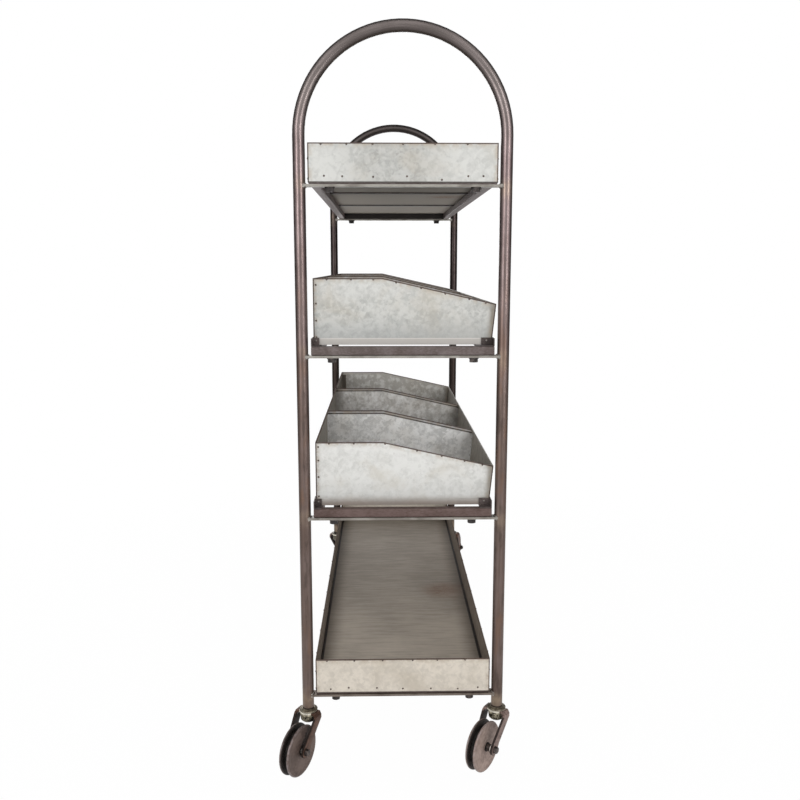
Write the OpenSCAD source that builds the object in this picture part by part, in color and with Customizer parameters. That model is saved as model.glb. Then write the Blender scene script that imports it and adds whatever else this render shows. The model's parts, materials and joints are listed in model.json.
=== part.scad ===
// Rolling pantry cart: two arched tube end frames, two sheet trays, two divided bins, four swivel casters.
// Millimetres. The origin is on the floor under the cart's centre, +X runs along the length,
// -Y is the front (the low side of the bins) and +Z is up.

/* [End frames] */
// Width over the two legs of an end frame
frame_w = 450; // [440:1:470]
// Length of the cart, from leg centre to leg centre
frame_l = 1280; // [1100:10:1400]
// Height of the arch's top above the floor
frame_h = 1600; // [1590:1:1690]
// Outside diameter of the bent tube
tube_d = 25.4; // [24:0.1:26]
// Wall of the bent tube
tube_wall = 1.6; // [1.5:0.1:2.5]
// Height of the legs' lower ends above the floor
leg_bottom = 133; // [133:1:139]

/* [Shelf heights] */
// Height of the bottom tray's seat on its crossbars
bottom_seat = 167; // [162:1:190]
// Height of the lower bin shelf's seat
lower_seat = 575; // [550:1:590]
// Height of the upper bin shelf's seat
upper_seat = 927; // [910:1:940]
// Height of the top tray's seat
top_seat = 1278; // [1260:1:1290]

/* [Crossbars and shelf frames] */
// Depth of a flat crossbar
crossbar_w = 22; // [20:1:24]
// Thickness of a flat crossbar
crossbar_t = 5; // [4:0.5:6]
// Width over the side rails of a shelf frame
shelf_w = 386; // [380:1:388]
// How far the end rails stand outside the leg centres
shelf_overhang = 8; // [6:1:10]
// Outside size of the square tube in a shelf frame
rail = 19; // [18:0.5:20]
// Wall of the square tube
rail_wall = 1.2; // [1.2:0.1:2]
// Corner radius of the square tube
rail_corner = 2; // [1:0.5:3]
// Width of a flat cross bar under a shelf
cross_bar_w = 25; // [20:1:40]
// Thickness of a flat cross bar under a shelf
cross_bar_t = 3; // [2:0.5:4]
// Distance between the two bolts at a shelf's end
bolt_spacing = 300; // [240:5:320]

/* [Trays] */
// Thickness of the zinc-coated sheet
sheet = 1.2; // [1:0.1:1.5]
// Height of a tray's walls
tray_h = 78.5; // [60:0.5:100]
// Gap between the crossbar and a tray wall's lower edge
tray_lift = 3.5; // [2:0.5:6]
// Height of the folded edge along a tray's or bin's top
hem_h = 8; // [5:1:12]
// Width of the flanges that join the long walls and the end panels
flange_w = 14; // [10:1:20]

/* [Bins] */
// Length of a bin
bin_l = 1244; // [1000:1:1250]
// Width of a bin at its floor
bin_w = 379; // [360:1:379]
// Height of a bin's back wall
bin_back_h = 140; // [110:1:160]
// Height of a bin's front wall
bin_front_h = 86; // [60:1:100]
// How far the front wall leans out at its top
bin_lean = 9; // [0:0.5:10]
// Part of an end panel's width that is level before the slope starts
bin_level = 0.39; // [0.2:0.01:0.6]
// Height of the folded strip along an end panel's foot
bin_foot_h = 13; // [8:1:20]
// Height of the bin's floor above the rails
bin_lift = 2; // [2:0.5:6]
// Height of a corner bracket
seat_h = 17; // [12:1:25]
// Length of a corner bracket along the bin's side
seat_l = 48; // [40:1:60]
// Width of a front corner bracket across the bin's end
seat_w = 26; // [22:1:35]
// Width of a back corner bracket across the bin's end
seat_back_w = 16; // [12:1:26]
// Thickness of a corner bracket's upright flanges
seat_t = 2; // [1.5:0.1:2]
// Width of the folded tabs that join a divider to the bin's walls
tab_w = 16; // [10:1:25]

/* [Casters] */
// Diameter of the grooved wheel
wheel_d = 112; // [104:1:112]
// Width over the wheel's two discs
wheel_w = 24; // [20:1:26]
// Diameter of the wheel's core at the bottom of the groove
core_d = 82; // [70:1:92]
// Horizontal distance from the swivel axis to the axle
trail = 50; // [48:1:56]
// Where the back left wheel trails, in degrees from +X
back_left_swivel = 151.5; // [0:0.5:360]
// Where the front left wheel trails
front_left_swivel = 143; // [0:0.5:360]
// Where the back right wheel trails
back_right_swivel = 340; // [0:1:360]
// Where the front right wheel trails
front_right_swivel = 340; // [0:1:360]
// How far the back left wheel sits from its fork's middle, towards the axle bolt's head
back_left_set = 3; // [-6:0.5:6]
// How far the front left wheel sits from its fork's middle
front_left_set = -6; // [-6:0.5:6]
// Number of bearing balls in a swivel head
ball_count = 10; // [8:1:14]

/* [Hidden] */
$fn = 48;
// Overshoot of a cutter past the face it cuts
cut = 1;
// Gap left between a crossbar's end and the tube that it is welded to
weld_gap = 0.05;
// Play round a bolt in its hole
bolt_play = 0.25;
// Hairline between pieces that are clamped together
clamp_gap = 0.02;

steel_brown = "#5d534e";
mill_scale = "#6d6160";
zinc = "#b8bab3";
zinc_dark = "#8b8a80";
bolt_black = "#2e2c2b";
bronze = "#6f6a55";
wheel_brown = "#5b504b";
core_black = "#262422";

leg_x = frame_l / 2;
leg_y = (frame_w - tube_d) / 2;
arch_z = frame_h - frame_w / 2;

seats = [bottom_seat, lower_seat, upper_seat, top_seat];
shelf_l = frame_l + 2 * shelf_overhang;
rail_x = shelf_l / 2;
rail_y = shelf_w / 2;

bolt_r = 5;
bolt_x = rail_x - rail / 2;
bolt_y = bolt_spacing / 2;
bolt_head_af = 17;
bolt_head_h = 7.5;
washer_r = 10.5;
washer_t = 2.5;
insert_r = 6.5;
insert_h = 12;

tray_floor_inset = 2;

bin_x = bin_l / 2;
bin_y = bin_w / 2;
bin_break_y = bin_y - bin_level * bin_w;
divider_x = bin_l / 6;
tab_clear = 1;
seat_play = 0.7;

// Swivel head, from the leg down: dished top cup, fork plate, lower cup
plate_top = 127;
plate_t = 4;
plate_r = 20;
head_gap = 0.3;
top_cup_r = 20.5;
top_cup_rim = 1.6;
top_cup_neck_r = 14.5;
top_cup_neck_h = 1.5;
lower_cup_r = 18.5;
lower_cup_bottom = 103;
kingpin_r = 6;
kingpin_end = 1;
stem_h = 40;
ball_r = 2.5;
ball_ring_r = 14;
ball_play = 0.05;
lower_cup_rim = 5;
lower_cup_taper = 1.2;
lower_cup_edge = 3;

axle_z = wheel_d / 2;
axle_r = 4;
running_play = 0.05;
hub_r = 10;
hub_w = 26;
disc_t = 5.5;
disc_rim_w = 4;
disc_dish_w = 6;
disc_dish = 0.6;
arm_t = 5;
arm_w = 22;
arm_eye_d = 26;
arm_gap = 40;
axle_bore_l = arm_gap + 2 * arm_t + 2 * cut;
arm_knee_x = 39;
arm_knee_z = 70;
arm_top_x = 3;
arm_top_y = 26.5;
arm_top_z = 112;
shoulder_y = 22.5;
shoulder_z = 119.5;
axle_washer_r = 8;
axle_washer_t = 1.5;
axle_end = 2;
axle_head_h = 5.5;
axle_head_af = 13;

// Leg places, rest directions and wheel places of the casters: back left, front left, back right, front right
caster_sides = [[-1, 1], [-1, -1], [1, 1], [1, -1]];
caster_swivels = [back_left_swivel, front_left_swivel, back_right_swivel, front_right_swivel];
wheel_sets = [back_left_set, front_left_set, 0, 0];

// Helpers

// Points along an arc round (cx, cy), from angle a0 to a1
function arc(cx, cy, r, a0, a1, steps = 5) =
  [for (i = [0 : steps]) let (a = a0 + (a1 - a0) * i / steps) [cx + r * cos(a), cy + r * sin(a)]];

// Places its children at both ends of the cart, the right-hand copy mirrored
module at_both_ends() {
  children();
  mirror([1, 0, 0]) children();
}

// Places its children at both long sides of the cart, the back copy mirrored
module at_both_sides() {
  children();
  mirror([0, 1, 0]) children();
}

// Stands a Y-Z outline up and gives it a thickness along +X
module upright(thickness) {
  rotate([90, 0, 90]) linear_extrude(thickness) children();
}

// Turns an outline of radius against height round the Z axis
module turned(points) {
  rotate_extrude() polygon(points);
}

// Hexagon with the given width across its flats, its corners turned off at the face on z = 0
module hex_head(across_flats, height) {
  intersection() {
    cylinder(d = across_flats / cos(30), h = height, $fn = 6);
    cylinder(r1 = across_flats / 2, r2 = across_flats / 2 + height / tan(30), h = height);
  }
}

// End frames

// Solid with the bent tube's centreline and the given diameter, its legs reaching down to z_low
module arch_solid(diameter, z_low) {
  for (side = [-1, 1])
    translate([0, side * leg_y, z_low]) cylinder(d = diameter, h = arch_z - z_low);
  translate([0, 0, arch_z]) rotate([90, 0, 90])
    rotate_extrude(angle = 180) translate([leg_y, 0]) circle(d = diameter);
}

module end_arch(x) {
  color(steel_brown) translate([x, 0, 0]) difference() {
    arch_solid(tube_d, leg_bottom);
    arch_solid(tube_d - 2 * tube_wall, leg_bottom - cut);
  }
}

// Flat bar coped round both legs, with two bolt holes
module crossbar(seat) {
  difference() {
    translate([-leg_x - crossbar_w / 2, -leg_y, seat - crossbar_t]) cube([crossbar_w, 2 * leg_y, crossbar_t]);
    for (side = [-1, 1]) {
      translate([-leg_x, side * leg_y, seat - crossbar_t - cut])
        cylinder(r = tube_d / 2 + weld_gap, h = crossbar_t + 2 * cut);
      translate([-bolt_x, side * bolt_y, seat - crossbar_t - cut])
        cylinder(r = bolt_r + bolt_play, h = crossbar_t + 2 * cut);
    }
  }
}

module left_crossbars() {
  color(mill_scale) for (seat = seats) crossbar(seat);
}

module right_crossbars() {
  mirror([1, 0, 0]) left_crossbars();
}

// Shelf frames

// Square tube section with rounded outer corners, its centre on the origin
module rail_section() {
  flat = rail / 2 - rail_corner;
  corners = [[flat, flat, 0], [-flat, flat, 90], [-flat, -flat, 180], [flat, -flat, 270]];
  difference() {
    polygon([for (c = corners) each arc(c[0], c[1], rail_corner, c[2], c[2] + 90, 3)]);
    square(rail - 2 * rail_wall, center = true);
  }
}

// Rail along X with mitred ends, its outer face at y = -half_width, standing on z = 0
module mitred_rail(half_length, half_width) {
  intersection() {
    translate([-half_length, -half_width + rail / 2, rail / 2]) upright(2 * half_length) rail_section();
    translate([0, 0, -cut]) linear_extrude(rail + 2 * cut) polygon([
      [-half_length, -half_width],
      [half_length, -half_width],
      [half_length - rail, -half_width + rail],
      [-half_length + rail, -half_width + rail]
    ]);
  }
}

module side_rails(seat) {
  color(mill_scale) at_both_sides() translate([0, 0, seat]) mitred_rail(rail_x, rail_y);
}

// End rails, bored through the lower wall for the threaded inserts
module end_rails(seat) {
  color(mill_scale) at_both_ends() difference() {
    translate([0, 0, seat]) rotate([0, 0, -90]) mitred_rail(rail_y, rail_x);
    for (side = [-1, 1])
      translate([-bolt_x, side * bolt_y, seat - cut])
        cylinder(r = insert_r + weld_gap, h = rail_wall + 2 * cut);
  }
}

// Two flat bars between the side rails, level with the rails' tops
module cross_bars(seat) {
  color(mill_scale) at_both_ends()
    translate([-shelf_l / 6 - cross_bar_w / 2, -rail_y + rail, seat + rail - cross_bar_t])
      cube([cross_bar_w, shelf_w - 2 * rail, cross_bar_t]);
}

// Places its children on each of the sixteen bolt axes, at the crossbar's underside
module at_bolts() {
  for (seat = seats, end = [-1, 1], side = [-1, 1])
    translate([end * bolt_x, side * bolt_y, seat - crossbar_t]) children();
}

module shelf_bolts() {
  color(bolt_black) at_bolts() {
    translate([0, 0, -washer_t - bolt_head_h]) hex_head(bolt_head_af, bolt_head_h);
    translate([0, 0, -washer_t]) cylinder(r = bolt_r, h = washer_t + crossbar_t + insert_h);
  }
}

module shelf_bolt_washers() {
  color(bolt_black) at_bolts() translate([0, 0, -washer_t]) difference() {
    cylinder(r = washer_r, h = washer_t);
    translate([0, 0, -cut]) cylinder(r = bolt_r + bolt_play, h = washer_t + 2 * cut);
  }
}

module shelf_bolt_inserts() {
  color(zinc_dark) at_bolts() translate([0, 0, crossbar_t]) difference() {
    cylinder(r = insert_r, h = insert_h);
    translate([0, 0, -cut]) cylinder(r = bolt_r + running_play, h = insert_h + 2 * cut);
  }
}

// Trays

module tray_floor(seat) {
  half_x = rail_x - tray_floor_inset;
  half_y = rail_y - tray_floor_inset;
  color(zinc_dark) translate([-half_x, -half_y, seat + rail]) cube([2 * half_x, 2 * half_y, sheet]);
}

// Section of a sheet wall of the given height, outer face on x = 0, with its top edge folded inward
module hemmed_wall(height) {
  polygon([
    [0, 0], [0, height], [2 * sheet, height], [2 * sheet, height - hem_h], [sheet, height - hem_h], [sheet, 0]
  ]);
}

module tray_front_wall(seat) {
  color(zinc) translate([-rail_x, -rail_y - sheet, seat + tray_lift]) upright(shelf_l) hemmed_wall(tray_h);
}

module tray_back_wall(seat) {
  mirror([0, 1, 0]) tray_front_wall(seat);
}

// End panels as wide as the tray, with a flange turned back behind each long wall, above the floor
module tray_end_panels(seat) {
  fold_y = rail_y - sheet;
  flange_low = rail + sheet - tray_lift;
  flange_high = tray_h - hem_h - tab_clear;
  color(zinc) at_both_ends() translate([-rail_x - sheet, 0, seat + tray_lift]) {
    translate([0, -rail_y - sheet, 0]) cube([sheet, shelf_w + 2 * sheet, tray_h]);
    translate([sheet, -fold_y, tray_h - hem_h]) cube([sheet, 2 * fold_y, hem_h]);
    at_both_sides() translate([sheet, -rail_y, flange_low])
      cube([flange_w, sheet, flange_high - flange_low]);
  }
}

// Bins

function bin_floor_z(seat) = seat + rail + bin_lift;

// Outer face of the leaning front wall at a height above the bin's floor
function bin_front_y(z) = -bin_y - bin_lean * z / bin_front_h;

// Stepped outline of a bin in Y and Z, cut back at the foot and at the sides
module bin_outline(foot, side) {
  polygon([
    [bin_y - side, foot],
    [bin_y - side, bin_back_h],
    [bin_break_y, bin_back_h],
    [bin_front_y(bin_front_h) + side, bin_front_h],
    [bin_front_y(foot) + side, foot]
  ]);
}

// Folded strip along a bin panel's stepped top edge, clear of the front and back walls' own folds
module bin_top_fold() {
  side = 2 * sheet;
  low = bin_front_h - hem_h;
  polygon([
    [bin_y - side, bin_back_h],
    [bin_break_y, bin_back_h],
    [bin_front_y(bin_front_h) + side, bin_front_h],
    [bin_front_y(low) + side, low],
    [bin_break_y, bin_back_h - hem_h],
    [bin_y - side, bin_back_h - hem_h]
  ]);
}

module bin_floor(seat) {
  half_x = bin_x - sheet;
  half_y = bin_y - sheet;
  color(zinc_dark) translate([-half_x, -half_y, bin_floor_z(seat)]) cube([2 * half_x, 2 * half_y, sheet]);
}

// Leaning front wall with its top edge folded inward
module bin_front_wall(seat) {
  low = bin_front_h - hem_h;
  color(zinc) translate([-bin_x + sheet, 0, bin_floor_z(seat)]) upright(bin_l - 2 * sheet) polygon([
    [bin_front_y(0), 0],
    [bin_front_y(bin_front_h), bin_front_h],
    [bin_front_y(bin_front_h) + 2 * sheet, bin_front_h],
    [bin_front_y(low) + 2 * sheet, low],
    [bin_front_y(low) + sheet, low],
    [bin_front_y(0) + sheet, 0]
  ]);
}

// Back wall with its top edge folded inward, and a flange turned in behind each end panel
module bin_back_wall(seat) {
  flange_high = bin_back_h - hem_h - tab_clear;
  color(zinc) translate([0, 0, bin_floor_z(seat)]) {
    translate([-bin_x + sheet, bin_y, 0])
      mirror([0, 1, 0]) upright(bin_l - 2 * sheet) hemmed_wall(bin_back_h);
    at_both_ends() translate([-bin_x + sheet, bin_y - sheet - flange_w, sheet])
      cube([sheet, flange_w, flange_high - sheet]);
  }
}

// Section of a tab that lies against the leaning front wall, below the wall's folded edge
module front_tab() {
  top = bin_front_h - hem_h - tab_clear;
  polygon([
    [bin_front_y(sheet) + sheet, sheet],
    [bin_front_y(top) + sheet, top],
    [bin_front_y(top) + 2 * sheet, top],
    [bin_front_y(sheet) + 2 * sheet, sheet]
  ]);
}

// Section of a tab that lies against the back wall, below the wall's folded edge
module back_tab() {
  top = bin_back_h - hem_h - tab_clear;
  translate([bin_y - 2 * sheet, sheet]) square([sheet, top - sheet]);
}

// End panels with a folded top edge, a flange behind the front wall and a folded strip along the foot outside
module bin_end_panels(seat) {
  color(zinc) at_both_ends() translate([-bin_x, 0, bin_floor_z(seat)]) {
    upright(sheet) bin_outline(0, 0);
    translate([sheet, 0, 0]) upright(sheet) bin_top_fold();
    translate([sheet, 0, 0]) upright(flange_w) front_tab();
    translate([-sheet, -bin_y, 0]) cube([sheet, bin_w, bin_foot_h]);
  }
}

// Dividers with their folded edge and tabs towards the left end
module bin_dividers(seat) {
  color(zinc) for (side = [-1, 1])
    translate([side * divider_x - sheet / 2, 0, bin_floor_z(seat)]) {
      upright(sheet) bin_outline(sheet, 2 * sheet);
      translate([-sheet, 0, 0]) upright(sheet) bin_top_fold();
      translate([sheet - tab_w, 0, 0]) upright(tab_w) {
        front_tab();
        back_tab();
      }
    }
}

// Bracket in plan an L, with a foot under the bin's corner: one flange along the side, one across the end
module corner_bracket(seat, width) {
  end_x = bin_x + sheet + seat_play;
  translate([0, 0, seat + rail]) {
    translate([-rail_x, -rail_y, 0]) cube([seat_l, width, bin_lift]);
    translate([-rail_x, -rail_y, 0]) cube([seat_l, seat_t, seat_h]);
    translate([-end_x - seat_t, -rail_y, 0]) cube([seat_t, width, seat_h]);
  }
}

module bin_corner_brackets(seat) {
  color(mill_scale) at_both_ends() {
    corner_bracket(seat, seat_w);
    mirror([0, 1, 0]) corner_bracket(seat, seat_back_w);
  }
}

// Casters, fixed pieces of the swivel head

// Places its children on the four leg axes
module at_legs() {
  for (side = caster_sides) translate([side[0] * leg_x, side[1] * leg_y, 0]) children();
}

module caster_stems() {
  plug_r = tube_d / 2 - tube_wall - weld_gap;
  color(bronze) at_legs() {
    translate([0, 0, leg_bottom]) cylinder(r = plug_r, h = stem_h);
    translate([0, 0, lower_cup_bottom - kingpin_end])
      cylinder(r = kingpin_r, h = leg_bottom - lower_cup_bottom + kingpin_end);
  }
}

// Groove that the balls run in, centred on the gap above the fork plate
module ball_race() {
  translate([0, 0, plate_top + head_gap / 2])
    rotate_extrude() translate([ball_ring_r, 0]) circle(r = ball_r + ball_play);
}

module caster_top_cups() {
  low = plate_top + head_gap;
  bore = kingpin_r + weld_gap;
  color(bronze) at_legs() difference() {
    turned(concat(
      [[bore, low]],
      arc(top_cup_r - top_cup_rim, low + top_cup_rim, top_cup_rim, -90, 90, 8),
      [[top_cup_neck_r, leg_bottom - top_cup_neck_h], [top_cup_neck_r, leg_bottom], [bore, leg_bottom]]
    ));
    ball_race();
  }
}

module caster_lower_cups() {
  top = plate_top - plate_t - head_gap;
  bore = kingpin_r + weld_gap;
  color(bronze) at_legs() turned([
    [bore, top],
    [lower_cup_r, top],
    [lower_cup_r, top - lower_cup_rim],
    [lower_cup_r - lower_cup_taper, lower_cup_bottom + lower_cup_edge],
    [lower_cup_r - lower_cup_taper - lower_cup_edge, lower_cup_bottom],
    [bore, lower_cup_bottom]
  ]);
}

module caster_bearing_balls() {
  color(zinc) at_legs() for (i = [0 : ball_count - 1])
    rotate([0, 0, 360 * i / ball_count])
      translate([ball_ring_r, 0, plate_top + head_gap / 2]) sphere(r = ball_r);
}

// Casters, moving pieces

// Places its children on one leg axis, turned so that +X is the way that the wheel trails
module on_swivel(i) {
  translate([caster_sides[i][0] * leg_x, caster_sides[i][1] * leg_y, 0])
    rotate([0, 0, caster_swivels[i]]) children();
}

// Round pad, square to the axle, that an arm is drawn between
module arm_pad(x, y, z, d) {
  translate([x, y, z]) rotate([90, 0, 0]) cylinder(d = d, h = arm_t, center = true, $fn = 32);
}

// Strip across an arm's upper end, from one height to another
module arm_strip(y, low, high) {
  translate([arm_top_x - arm_w / 2, y - arm_t / 2, low]) cube([arm_w, arm_t, high - low]);
}

// Flat arm bent down from the fork plate over a sloping shoulder, then drawn in and back to the axle
module fork_arm() {
  low_y = (arm_gap + arm_t) / 2;
  hull() {
    arm_strip(shoulder_y, plate_top - plate_t, plate_top);
    arm_strip(arm_top_y, arm_top_z, shoulder_z);
  }
  hull() {
    arm_strip(arm_top_y, arm_top_z, shoulder_z);
    arm_pad(arm_knee_x, low_y, arm_knee_z, arm_w);
  }
  hull() {
    arm_pad(arm_knee_x, low_y, arm_knee_z, arm_w);
    arm_pad(trail, low_y, axle_z, arm_eye_d);
  }
}

module fork(i) {
  color(wheel_brown) on_swivel(i) difference() {
    union() {
      translate([0, 0, plate_top - plate_t]) cylinder(r = plate_r, h = plate_t);
      translate([arm_top_x - arm_w / 2, -shoulder_y, plate_top - plate_t])
        cube([arm_w, 2 * shoulder_y, plate_t]);
      at_both_sides() fork_arm();
    }
    translate([0, 0, plate_top - plate_t - cut])
      cylinder(r = kingpin_r + running_play, h = plate_t + 2 * cut);
    ball_race();
    translate([trail, 0, axle_z]) rotate([90, 0, 0])
      cylinder(r = axle_r + running_play, h = axle_bore_l, center = true);
  }
}

// Places its children on the axle, with +Z along it towards the bolt's head
module on_axle(i) {
  on_swivel(i) translate([trail, 0, axle_z]) rotate([-90, 0, 0]) children();
}

// Ring on the axle from one place along it to another
module axle_ring(low, high) {
  translate([0, 0, low]) difference() {
    cylinder(r = axle_washer_r, h = high - low);
    translate([0, 0, -cut]) cylinder(r = axle_r + running_play, h = high - low + 2 * cut);
  }
}

// Hex bolt, nut, a washer outside each arm and a spacer between each arm and the hub
module axle(i) {
  inner = arm_gap / 2 - clamp_gap;
  outer = arm_gap / 2 + arm_t + clamp_gap;
  head = outer + axle_washer_t + clamp_gap;
  color(bolt_black) on_axle(i) {
    translate([0, 0, head + axle_head_h]) mirror([0, 0, 1]) hex_head(axle_head_af, axle_head_h);
    translate([0, 0, -head - axle_head_h - axle_end])
      cylinder(r = axle_r, h = 2 * head + axle_head_h + axle_end);
    difference() {
      translate([0, 0, -head - axle_head_h]) hex_head(axle_head_af, axle_head_h);
      translate([0, 0, -head - axle_head_h - cut])
        cylinder(r = axle_r + running_play, h = axle_head_h + 2 * cut);
    }
    for (side = [1, -1]) scale([1, 1, side]) {
      axle_ring(outer, outer + axle_washer_t);
      axle_ring(hub_w / 2 + side * wheel_sets[i] + head_gap, inner);
    }
  }
}

// Places its children at the wheel's middle on the axle
module on_wheel(i) {
  on_axle(i) translate([0, 0, wheel_sets[i]]) children();
}

// Two discs with full round rims, slightly dished towards the hub
module wheel_discs(i) {
  rim = disc_t / 2;
  rim_y = wheel_w / 2 - rim;
  rim_r = wheel_d / 2 - rim;
  bore = hub_r + weld_gap;
  inner = wheel_w / 2 - disc_t;
  dished = wheel_w / 2 - disc_dish;
  dish_r = rim_r - disc_rim_w - disc_dish_w;
  color(wheel_brown) on_wheel(i) for (side = [0, 1]) mirror([0, 0, side])
    turned(concat(
      [[bore, inner], [rim_r, inner]],
      arc(rim_r, rim_y, rim, -90, 90, 8),
      [[rim_r - disc_rim_w, wheel_w / 2], [dish_r, dished], [bore, dished]]
    ));
}

// Spool between the discs, with a hub that runs on the axle
module wheel_core(i) {
  inner = wheel_w / 2 - disc_t;
  bore = axle_r + running_play;
  color(core_black) on_wheel(i) turned([
    [bore, -hub_w / 2], [hub_r, -hub_w / 2], [hub_r, -inner], [core_d / 2, -inner],
    [core_d / 2, inner], [hub_r, inner], [hub_r, hub_w / 2], [bore, hub_w / 2]
  ]);
}

end_arch(-leg_x);  // left_end_arch
end_arch(leg_x);  // right_end_arch
left_crossbars();
right_crossbars();
side_rails(bottom_seat);  // bottom_shelf_side_rails
end_rails(bottom_seat);  // bottom_shelf_end_rails
cross_bars(bottom_seat);  // bottom_shelf_cross_bars
side_rails(lower_seat);  // lower_bin_shelf_side_rails
end_rails(lower_seat);  // lower_bin_shelf_end_rails
cross_bars(lower_seat);  // lower_bin_shelf_cross_bars
side_rails(upper_seat);  // upper_bin_shelf_side_rails
end_rails(upper_seat);  // upper_bin_shelf_end_rails
cross_bars(upper_seat);  // upper_bin_shelf_cross_bars
side_rails(top_seat);  // top_shelf_side_rails
end_rails(top_seat);  // top_shelf_end_rails
cross_bars(top_seat);  // top_shelf_cross_bars
tray_floor(bottom_seat);  // bottom_tray_floor
tray_front_wall(bottom_seat);  // bottom_tray_front_wall
tray_back_wall(bottom_seat);  // bottom_tray_back_wall
tray_end_panels(bottom_seat);  // bottom_tray_end_panels
tray_floor(top_seat);  // top_tray_floor
tray_front_wall(top_seat);  // top_tray_front_wall
tray_back_wall(top_seat);  // top_tray_back_wall
tray_end_panels(top_seat);  // top_tray_end_panels
bin_floor(lower_seat);  // lower_bin_floor
bin_front_wall(lower_seat);  // lower_bin_front_wall
bin_back_wall(lower_seat);  // lower_bin_back_wall
bin_end_panels(lower_seat);  // lower_bin_end_panels
bin_dividers(lower_seat);  // lower_bin_dividers
bin_corner_brackets(lower_seat);  // lower_bin_corner_brackets
bin_floor(upper_seat);  // upper_bin_floor
bin_front_wall(upper_seat);  // upper_bin_front_wall
bin_back_wall(upper_seat);  // upper_bin_back_wall
bin_end_panels(upper_seat);  // upper_bin_end_panels
bin_dividers(upper_seat);  // upper_bin_dividers
bin_corner_brackets(upper_seat);  // upper_bin_corner_brackets
shelf_bolts();
shelf_bolt_washers();
shelf_bolt_inserts();
caster_stems();
caster_top_cups();
caster_lower_cups();
caster_bearing_balls();
fork(0);  // back_left_fork
axle(0);  // back_left_axle
wheel_discs(0);  // back_left_wheel_discs
wheel_core(0);  // back_left_wheel_core
fork(1);  // front_left_fork
axle(1);  // front_left_axle
wheel_discs(1);  // front_left_wheel_discs
wheel_core(1);  // front_left_wheel_core
fork(2);  // back_right_fork
axle(2);  // back_right_axle
wheel_discs(2);  // back_right_wheel_discs
wheel_core(2);  // back_right_wheel_core
fork(3);  // front_right_fork
axle(3);  // front_right_axle
wheel_discs(3);  // front_right_wheel_discs
wheel_core(3);  // front_right_wheel_core
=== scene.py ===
"""Looks of a rolling pantry cart: lacquered tube frames, zinc-coated trays and bins, grooved swivel casters.

Metres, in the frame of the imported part: +X along the cart, -Y to its front, +Z up, the floor at z = 0.
"""

import json
import math

import bpy
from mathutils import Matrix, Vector


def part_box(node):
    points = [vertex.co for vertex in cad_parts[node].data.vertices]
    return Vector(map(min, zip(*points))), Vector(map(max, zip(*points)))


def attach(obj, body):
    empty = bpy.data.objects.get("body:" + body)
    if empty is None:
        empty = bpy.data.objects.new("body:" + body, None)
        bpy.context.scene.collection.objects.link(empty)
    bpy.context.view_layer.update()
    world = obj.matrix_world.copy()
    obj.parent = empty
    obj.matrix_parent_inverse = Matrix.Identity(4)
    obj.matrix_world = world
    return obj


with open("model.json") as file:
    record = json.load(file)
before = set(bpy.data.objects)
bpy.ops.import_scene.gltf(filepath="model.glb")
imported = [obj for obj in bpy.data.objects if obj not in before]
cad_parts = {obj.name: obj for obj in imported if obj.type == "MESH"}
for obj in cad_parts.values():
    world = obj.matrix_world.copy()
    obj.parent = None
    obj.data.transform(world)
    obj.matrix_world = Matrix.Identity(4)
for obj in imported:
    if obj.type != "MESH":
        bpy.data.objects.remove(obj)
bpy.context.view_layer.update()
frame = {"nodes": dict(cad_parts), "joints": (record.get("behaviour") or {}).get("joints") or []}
nodes = frame["nodes"]
joints = {joint["name"]: joint for joint in frame["joints"]}

CART = "cart"
CASTERS = ("back_left", "front_left", "back_right", "front_right")
TRAYS = ("bottom_tray", "top_tray")
BINS = ("lower_bin", "upper_bin")
SHELVES = ("bottom_shelf", "lower_bin_shelf", "upper_bin_shelf", "top_shelf")

# Sizes taken from the frame
ARCH_LOW, ARCH_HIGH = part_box("left_end_arch")
LEG_R = (ARCH_HIGH[0] - ARCH_LOW[0]) / 2
LEG_X = abs(ARCH_LOW[0] + ARCH_HIGH[0]) / 2
LEG_Y = ARCH_HIGH[1] - LEG_R
ARCH_Z = ARCH_HIGH[2] - LEG_R - LEG_Y
LEG_END = ARCH_LOW[2]
SEATS = [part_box(f"{shelf}_end_rails")[0][2] for shelf in SHELVES]
CROSSBAR_T = SEATS[0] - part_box("left_crossbars")[0][2]
WHEEL_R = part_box("back_left_wheel_discs")[1][2] / 2
PLATE_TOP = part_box("caster_top_cups")[0][2]

# Sheet metal: thickness, folded top edge, folded strip along a bin panel's foot
SHEET = 0.0012
HEM = 0.008
BIN_FOOT = 0.013
# Share of a bin panel's width over which its top edge is level
BIN_LEVEL = 0.39
# Outside size of the shelf frames' square tube
RAIL = 0.019
# Wheel forks: half the space between the arms, radius of the round plate
ARM_INSIDE = 0.020
PLATE_R = 0.020
# A fork's straight arm, seen along the axle: its head as (distance from the swivel axis, height), and half
# its width
ARM_HEAD = (0.003, 0.1158)
ARM_HALF = 0.011
# Radius of the arm's round end and how far up the arm its flare reaches
ARM_EYE_R = 0.013
ARM_FLARE = 0.018
# Height above which the arms spread, and how far each spreads with the height
ARM_KNEE_Z = 0.081
ARM_SPREAD = 0.104
# Wheels: half the width over the discs, thickness of a disc
WHEEL_HALF = 0.012
DISC_T = 0.0055

# Rivets: head radius and height, and how far a row sits from the sheet's lower and upper edge
RIVET_R = 0.0021
RIVET_H = 0.0010
RIVET_RISE = 0.0105
HEM_DROP = 0.0028
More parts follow.
